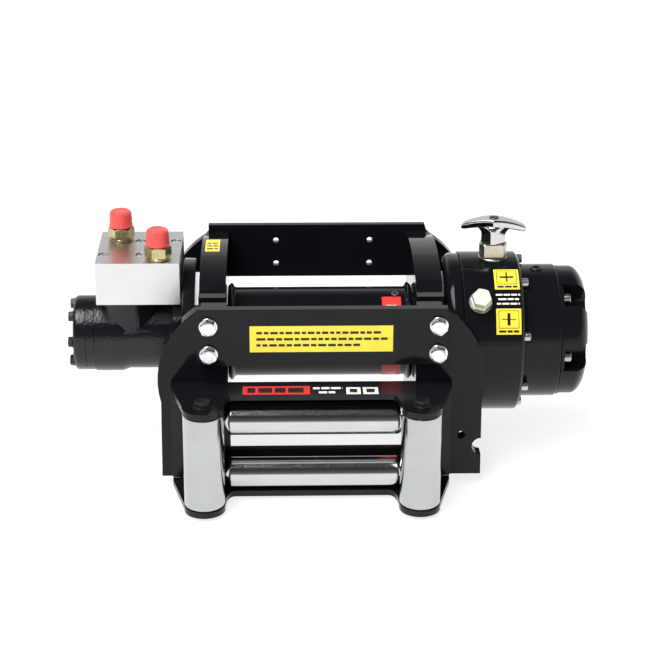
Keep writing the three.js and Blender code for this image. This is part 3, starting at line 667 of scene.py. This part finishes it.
HOUSING_R = 107.3
COVER_SCREW_R = 77
HOUSING_SCREW_R = 97
POCKET_HALF = 17
POCKET_ARC_R = 69
CLUTCH = Vector((231.5, 0, 0))
HANDLE_TURN = -0.15
PLUG = (208.6, 0, 0)
PLUG_TILT = 0.73  # from the front towards the top
PLUG_PHASE = 0.77


def make_gearbox():
    adaptor = [(155.8, 31), (155.8, 33.5), (159.3, 33.5), (159.3, 46), (161.6, 46), (162.9, 47),
               (163.3, 48.6), (163.3, 94), (164.2, 97.4), (166.2, 100.4), (169, 102.8), (172.4, 104.4),
               (176, 105), (185.6, 105), (186.7, 104.4), (186.7, 31)]
    make("adaptor_casting", [turned(adaptor, closed=True)], PAINT, "root",
         ["gearbox_adaptor"], 0.8)

    housing = turned([(187, 90.3), (187, 106.4), (188, HOUSING_R), (261.4, HOUSING_R), (262.8, 106.9),
                      (266, 103.4), (266, 72), (257, 72), (257, 90.3)], closed=True)
    boss = turned([(92, 0), (92, 20.6), (103.6, 20.6), (103.6, 0)], Z, X, CLUTCH, SMALL_ROUND)
    pin_hole = turned([(76, 0), (76, 7), (103.5, 7), (103.5, 19.6), (115, 19.6), (115, 0)], Z, X, CLUTCH,
                      SMALL_ROUND)
    tilt = Vector((0, -math.cos(PLUG_TILT), math.sin(PLUG_TILT)))
    plug_hole = turned([(85, 0), (85, 8.3), (113, 8.3), (113, 0)], tilt, X, PLUG, SMALL_ROUND)
    housing = combine(combine(housing, [boss], "UNION"), [pin_hole, plug_hole], "DIFFERENCE")
    make("ring_housing_casting", [housing], PAINT, "root", ["ring_housing"], 0.9)

    case = [(266.3, 80.4), (266.3, 89.8), (315.5, 89.8), (317, 88.6), (317, 16), (306, 16), (306, 70),
            (297, 80.4)]
    make("gear_case_casting", [turned(case, closed=True)], PAINT, "root", ["gear_case"], 0.6)

    cover = turned([(317.3, 9.5), (317.3, 86.8), (318.2, 87.8), (337, 87.8), (341.6, 86.8), (346, 83.6),
                    (350, 79), (353, 73.4), (354.9, 67), (355.5, 61.8), (355.5, 48.4), (354.9, 47.4),
                    (351, 46.6), (350.5, 45.6), (350.5, 0), (328, 0), (328, 9.5)], closed=True)
    pockets = []
    for outward in sector(6, -6):
        across = X.cross(outward)
        outline = [outward * 110 - across * POCKET_HALF, outward * 110 + across * POCKET_HALF]
        arc = [outward * POCKET_ARC_R + POCKET_HALF * (across * math.cos(a) - outward * math.sin(a))
               for a in (math.pi * i / 12 for i in range(13))]
        pockets.append(prism(outline + arc, X, 322, 370))
    cover = combine(cover, pockets, "DIFFERENCE")
    make("end_cover_casting", [cover], PAINT, "root", ["gear_end_cover"], 1.5, 3)

    for i, outward in enumerate(sector(6, -6)):
        rings = socket_rings(7, 322.2, 331.5, 8, 4.5)
        screw = turned(rings, X, outward, outward * COVER_SCREW_R, SMALL_ROUND)
        make(f"cover_screw_{i + 1}", [screw], SCREW_ZINC, bevel=0.3)
    for i, outward in enumerate(sector(8, 17)):
        rings = socket_rings(6, 266.1, 274.6, 6, 3.5)
        screw = turned(rings, X, outward, outward * HOUSING_SCREW_R, SMALL_ROUND)
        make(f"housing_screw_{i + 1}", [screw], SCREW_ZINC, bevel=0.3)
    plug = turned(socket_rings(8, 89, 91.8, 8, 2), Vector((0, -0.04, 1)), X, (290, 0, 0), SMALL_ROUND)
    make("case_plug", [plug], DARK_STEEL, bevel=0.3)

    face = HOUSING_R
    seat = [(face + 0.3, 8.4), (face + 0.3, 15.2), (face + 1.1, 15.5), (face + 1.7, 15.1), (face + 1.7, 8.4)]
    make("oil_plug_seat", [turned(seat, tilt, X, PLUG, SMALL_ROUND, True)], STEEL)
    body = [(103.5, 0), (103.5, 8), (face + 2.1, 8), (face + 2.1, 0)]
    collar = hex_rings(24.6, face + 1.9, face + 7.5)
    head = hex_rings(22, face + 7.3, face + 21)
    shapes = [turned(body, tilt, X, PLUG, SMALL_ROUND),
              turned(collar, tilt, X, PLUG, SMALL_ROUND, start=PLUG_PHASE),
              turned(head, tilt, X, PLUG, SMALL_ROUND, start=PLUG_PHASE)]
    make("oil_plug_moulding", shapes, PLUG_CREAM, "root", ["oil_plug"], 0.4)


make_gearbox()


# ---------- clutch ----------

def flat_radius(r, half):
    """A round collar's radius with two flats, facing the front and the back."""
    def radius(angle):
        facing = abs(math.sin(angle))
        return min(r, half / facing) if facing > 1e-6 else r
    return radius


def rounded_loop(corners, x, steps=6):
    """Points evenly spread round a polygon in the (y, z) plane at x."""
    loop = []
    for (y0, z0), (y1, z1) in zip(corners, corners[1:] + corners[:1]):
        loop += [(x, y0 + (y1 - y0) * i / steps, z0 + (z1 - z0) * i / steps) for i in range(steps)]
    return loop


def handle_bar():
    """The crossbar: thick over the stem, with a ridge round its crown, and slimmer at its drooping ends."""
    reach = 43.5
    steps = 36
    sections = []
    for i in range(steps + 1):
        s = -1 + 2 * i / steps
        end = math.sqrt(max(0.0, 1 - abs(s) ** 12))
        top = 161.2 - 9.6 * s * s
        deep = (6.6 + 7.4 * (1 - abs(s)) ** 1.3) * (0.45 + 0.55 * end)
        tall = (8.6 + 3.0 * (1 - s * s)) * (0.45 + 0.55 * end)
        middle = top - (8.6 + 3.0 * (1 - s * s)) / 2
        high, low = middle + tall / 2, middle - tall / 2
        half = [(deep * 0.9, high - tall * 0.04), (deep, high - tall * 0.22), (deep * 0.94, low + tall * 0.2),
                (deep * 0.6, low)]
        corners = [(0, high)] + half + [(-y, z) for y, z in reversed(half)]
        sections.append(rounded_loop(corners, reach * s, 3))
    return loft(sections)


def handle_stem():
    """A square stem with blunt corners that point along X and Y. It flares into the crossbar."""
    sections = []
    for z, along, across in ((127.6, 16.2, 16.2), (139, 16.0, 16.0), (142.5, 16.9, 16.0), (145.5, 19.2, 15.8),
                             (148, 23.5, 15.2), (150.5, 29.5, 14.0), (152.5, 36, 11.5)):
        blunt = 3.2
        corners = [(along, blunt), (blunt, across), (-blunt, across), (-along, blunt), (-along, -blunt),
                   (-blunt, -across), (blunt, -across), (along, -blunt)]
        loop = []
        for (x0, y0), (x1, y1) in zip(corners, corners[1:] + corners[:1]):
            loop += [(x0 + (x1 - x0) * i / 4, y0 + (y1 - y0) * i / 4, z) for i in range(4)]
        sections.append(loop)
    return loft(sections)


def make_clutch():
    radius = flat_radius(18.5, 13.2)
    nut = [(108, 7), (108, 12.6), lambda a: (108.6, radius(a) - 0.6), lambda a: (109.2, radius(a)),
           lambda a: (125.8, radius(a)), lambda a: (127, radius(a) - 1.2), (127, 7)]
    make("clutch_nut_detail", [turned(nut, Z, X, CLUTCH, 96, True)], DULL_ZINC, "root",
         ["clutch_nut"])
    collar = [(103.8, 7.5), (103.8, 18.8), (104.3, 19.3), (107.2, 19.3), (107.8, 18.7), (107.8, 7.5)]
    make("clutch_nut_collar", [turned(collar, Z, X, CLUTCH, 96, True)], DULL_ZINC, "root")

    whole = combine(handle_bar(), [handle_stem()], "UNION")
    points, faces = softened(whole, 0.5, 3)
    turn = Matrix.Translation(CLUTCH) @ Matrix.Rotation(HANDLE_TURN, 4, "Z")
    bore = turned([(120, 0), (120, 6.3), (146.3, 6.3), (146.3, 0)], Z, X, CLUTCH, SMALL_ROUND)
    casting = combine(([turn @ p for p in points], faces), [bore], "DIFFERENCE")
    make("clutch_handle_casting", [casting], CHROME, "clutch_handle_body", ["clutch_handle"],
         smooth=60)
    button = turned([(158.6, 0), (158.6, 6.6), (161.3, 6.6), (161.6, 6.3), (161.6, 5.4), (161.2, 5.1),
                     (161.2, 0)], Z, X, CLUTCH, SMALL_ROUND)
    make("clutch_handle_button", [button], DARK_STEEL, "clutch_handle_body")


make_clutch()


# ---------- motor ----------
def make_motor():
    cover = [(-329.6, 0), (-329.6, 45.2), (-329.1, 47.4), (-327.8, 49.2), (-325.8, 50.3), (-323.8, 50.5),
             (-313.3, 50.5), (-313, 50.2), (-313, 0)]
    make("motor_cover_casting", [turned(cover)], CAST, "root", ["motor_end_cover"])
    ring = [(-312.7, 41), (-312.7, 50.2), (-312.4, 50.5), (-301.9, 50.5), (-301.6, 50.2), (-301.6, 41)]
    make("gerotor_ring_detail", [turned(ring, closed=True)], CAST, "root", ["gerotor_ring"])
    for i, outward in enumerate(sector(7, -48)):
        centre = outward * 39.6 + X * -329.6
        flange = [(-1, 0), (-1, 6), (0.05, 6), (0.05, 7.9), (1.1, 7.6), (1.1, 0)]
        shapes = [turned(flange, -X, outward, centre, SMALL_ROUND),
                  turned(hex_rings(13, 0.9, 6.4), -X, outward, centre, SMALL_ROUND)]
        make(f"motor_bolt_{i + 1}", shapes, DARK_STEEL, bevel=0.2)

    body = turned([(-301, 17), (-301, 52), (-266, 52), (-255.5, 48.5), (-199, 48.5), (-196, 61), (-183.3, 61),
                   (-183.3, 23.8), (-171, 23.8), (-171, 20), (-176, 20), (-176, 17)], closed=True)
    tower = turned([(2, 0), (2, 45.4), (50, 45.4), (56, 46), (62.6, 46), (62.6, 0)], Z, X, (-254.5, 0, 0), 96)
    hollow = turned([(-305, 0), (-305, 40), (-190, 40), (-190, 0)])
    tower = combine(tower, [hollow], "DIFFERENCE")
    whole = combine(body, [tower], "UNION")
    make("motor_housing_casting", [whole], CAST, "root", ["motor_housing"], 1.0, 3)

    plate = [(-183, 24.3), (-183, 98.2), (-181.2, 100), (-166.4, 100), (-165, 98.8), (-165, 36), (-159.3, 36),
             (-159.3, 33.5), (-155.8, 33.5), (-155.8, 24.3)]
    make("mount_plate_disc", [turned(plate, closed=True)], PAINT, "root",
         ["motor_mount_plate"], 0.7)


make_motor()


# ---------- valve block and ports ----------
FITTING_FLATS = 31
BLOCK_SCREWS = ((-285.6, -24), (-236.4, -24.7), (-240.5, 28), (-192.6, 27.2))


def make_valve_block():
    low, high = span("valve_block")
    top = high.z
    fittings = [(word, (sum(span(f"{word}_port_fitting"), Vector()) / 2)) for word in ("rear", "front")]
    bores = [(top - 18, 13, p.x, p.y) for _, p in fittings] + [(top - 4, 7.3, x, y) for x, y in BLOCK_SCREWS]
    cutters = [turned([(floor, 0), (floor, r), (top + 2, r), (top + 2, 0)], Z, X, (x, y, 0), SMALL_ROUND)
               for floor, r, x, y in bores]
    body = combine(block(low, high), cutters, "DIFFERENCE")
    make("valve_block_body", [body], MILLED_STEEL, "root", ["valve_block"], 0.8)
    for i, (x, y) in enumerate(BLOCK_SCREWS):
        screw = turned(socket_rings(5.7, top - 3.9, top - 1.2, 5, 2, 0.6), Z, X, (x, y, 0), SMALL_ROUND)
        make(f"block_screw_{i + 1}", [screw], ZINC, bevel=0.2)
    for word, p in fittings:
        at = (p.x, p.y, 0)
        fitting = [(top - 16, 8.5), (top - 16, 11.7), (top - 15, 12.7), (top + 0.3, 12.7), (top + 0.3, 16.2),
                   (top + 0.9, 16.8), (top + 3.0, 16.8), (top + 3.8, 16.2), (top + 4, 15.2)]
        fitting += hex_rings(FITTING_FLATS, top + 4, top + 18.4)[1:-1]
        fitting += [(top + 18.4, 12), (top + 36, 12), (top + 37, 11), (top + 37, 8.5)]
        make(f"{word}_port_fitting_detail", [turned(fitting, Z, X, at, SMALL_ROUND, True, 0.4)], YELLOW_ZINC,
             "root", [f"{word}_port_fitting"], 0.3)
        cap = [(top + 18.8, 12.4), (top + 18.8, 15.4), (top + 19.4, 15.9), (top + 21.4, 15.9),
               (top + 22, 15.4), (top + 37, 14.7), (top + 39.2, 14), (top + 40.6, 12.4), (top + 41, 10),
               (top + 41, 8.6), (top + 40.2, 8), (top + 40.2, 0), (top + 38, 0), (top + 38, 12.4)]
        make(f"{word}_port_cap_moulding", [turned(cap, Z, X, at, 72, True)], CAP_RED, "root",
             [f"{word}_port_cap"], 0.3)


make_valve_block()


# ---------- fairlead rollers and pins ----------
PIN_R = 7.5
ROLLER_BORE = PIN_R + 0.6
UPRIGHT_R = 26


def make_rollers():
    for side in ("left", "right"):
        low, high = span(f"{side}_upright_roller")
        centre = Vector(((low.x + high.x) / 2, (low.y + high.y) / 2, 0))
        r = UPRIGHT_R
        rings = [(low.z, ROLLER_BORE), (low.z, r - 2.2), (low.z + 0.7, r - 0.7), (low.z + 2.2, r),
                 (high.z - 2.2, r), (high.z - 0.7, r - 0.7), (high.z, r - 2.2), (high.z, ROLLER_BORE)]
        make(f"{side}_upright_roller_tube", [turned(rings, Z, X, centre, 96, True)], CHROME_Z,
             f"{side}_upright_roller_body", [f"{side}_upright_roller"], 0.4)
        low, high = span(f"{side}_upright_pin")
        head = hex_rings(BOLT_FLATS, -13.6, -6.5)
        shaft = [(-164.5, 0), (-164.5, 10.4), (-163.9, 11), (-160.3, 11), (-160.3, PIN_R), (-14.7, PIN_R),
                 (-14.7, 12), (-14.2, 12.5), (-13.2, 12), (-13.2, 0)]
        shapes = [turned(shaft, Z, X, centre, SMALL_ROUND),
                  turned(head, Z, X, centre, SMALL_ROUND, start=0.2)]
        make(f"{side}_upright_pin_detail", shapes, DARK_STEEL, "root",
             [f"{side}_upright_pin"], 0.3)
    for word in ("upper", "lower"):
        low, high = span(f"{word}_level_roller")
        centre = Vector((0, (low.y + high.y) / 2, (low.z + high.z) / 2))
        half = [(0, ROLLER_BORE), (0, 13.4), (0.6, 14.2), (5.0, 19.1), (6.6, 19.9), (8, 20)]
        rings = [(low.x + t, r) for t, r in half] + [(high.x - t, r) for t, r in reversed(half)]
        make(f"{word}_level_roller_tube", [turned(rings, X, -Y, centre, 96, True)], CHROME_X,
             f"{word}_level_roller_body", [f"{word}_level_roller"], 0.4)
        low, high = span(f"{word}_level_pin")
        pin = [(low.x, 0), (low.x, 9.9), (low.x + 0.6, 10.5), (low.x + 3, 10.5), (low.x + 3, PIN_R),
               (high.x - 3, PIN_R), (high.x - 3, 10.5), (high.x - 0.6, 10.5), (high.x, 9.9), (high.x, 0)]
        make(f"{word}_level_pin_detail", [turned(pin, X, -Y, centre, SMALL_ROUND)], ZINC,
             "root", [f"{word}_level_pin"], 0.2)


make_rollers()


def make_window_edge():
    """The lower edge of the bracket's top strip, which closes the gap over the upper level roller."""
    _, high = span("fairlead_bracket")
    edge = block((-119.2, high.y - 7.9, -44.5), (105.2, high.y - 0.1, -39.6))
    make("fairlead_window_edge", [edge], SATIN, "root", bevel=1.0)


make_window_edge()


# ---------- plain labels ----------
TIE_FACE = -147.3  # y of the front tie plate's face
LEAD_TOP = -15  # z of the fairlead bracket's top
WEB_TOP = 108  # z of the left side frame's arched edge
ARCH_R = 340
ARCH_MIDDLE = 28


def make_labels():
    """Coloured films with plain bars, blocks and lines on them, and no lettering."""
    rng = random.Random(7)

    def film(name, mat, shapes):
        make(name, shapes, mat)

    face = front_of(TIE_FACE)
    film("tie_label", YELLOW_FILM, [patch(face, -92.5, 90.5, 31.8, 67.6, 0.02, 0.2)])
    rows = [(-84, 77, 58.2), (-84, 86, 49.6), (-84, 50, 41.2)]
    film("tie_label_print", INK, words(face, rows, 3.4, 0.15, 0.3, rng))

    top = top_of(LEAD_TOP)
    film("lead_strip", RED_FILM, [patch(top, -102, -16, -175.5, -150, 0.02, 0.2)])
    rows = [(-96, -86, -163), (-82, -22, -163)]
    film("lead_strip_print", INK, words(top, rows, 15, 0.15, 0.3, rng, (12, 20), 3))
    rows = [(-12, 26, -157), (-5, 18, -170)]
    film("lead_note", WHITE_FILM, words(top, rows, 6, 0.02, 0.2, rng, (8, 14), 2))
    pictures = [patch(top, a, b, -176, -155, 0.02, 0.2) for a, b in ((30.5, 49), (52, 71.5))]
    film("lead_pictures", WHITE_FILM, pictures)
    blocks = [patch(top, a, b, -171, -160, 0.15, 0.3) for a, b in ((35, 44.5), (56.5, 67))]
    film("lead_pictures_print", INK, blocks)

    shell = round_of(HOUSING_R)
    per_degree = math.radians(HOUSING_R)
    for i, (low, high) in enumerate(((51.8, 70.2), (18.9, 37.2))):
        v0, v1 = low * per_degree, high * per_degree
        film(f"clutch_label_{i + 1}", YELLOW_FILM, [patch(shell, 228.5, 261.2, v0, v1, 0.02, 0.2, 16)])
        lines = frame_lines(shell, 232, 258, v0 + 8.5, v1 - 3, 0.8)
        lines += [strip(shell, (245, v0 + 12), (245, v1 - 6), 4 if i else 2),
                  strip(shell, (236, v0 + 20), (254, v0 + 20), 1.2 if i else 3)]
        lines += words(shell, [(232, 258, v0 + 4.2)], 3, 0.15, 0.3, rng, (5, 10), 1.6, 2)
        film(f"clutch_label_{i + 1}_print", INK, lines)
    rows = [(229, 261, 47.6 * per_degree), (232, 259, 44.2 * per_degree), (230, 260, 40.8 * per_degree)]
    film("clutch_note", WHITE_FILM, words(shell, rows, 2.4, 0.02, 0.2, rng, (5, 11), 1.6, 2))

    def arch(u, v, h):
        return (u, v, WEB_TOP - ARCH_R + math.sqrt(ARCH_R ** 2 - (v - ARCH_MIDDLE) ** 2) + h)

    film("web_label", YELLOW_FILM, [patch(arch, -154, -134.5, 20, 76, 0.05, 0.25, 16)])
    lines = words(arch, [(-151.5, -137, y) for y in (30, 42, 54)], 5, 0.2, 0.35, rng, (5, 9), 2, 3)
    film("web_label_print", INK, lines)


make_labels()
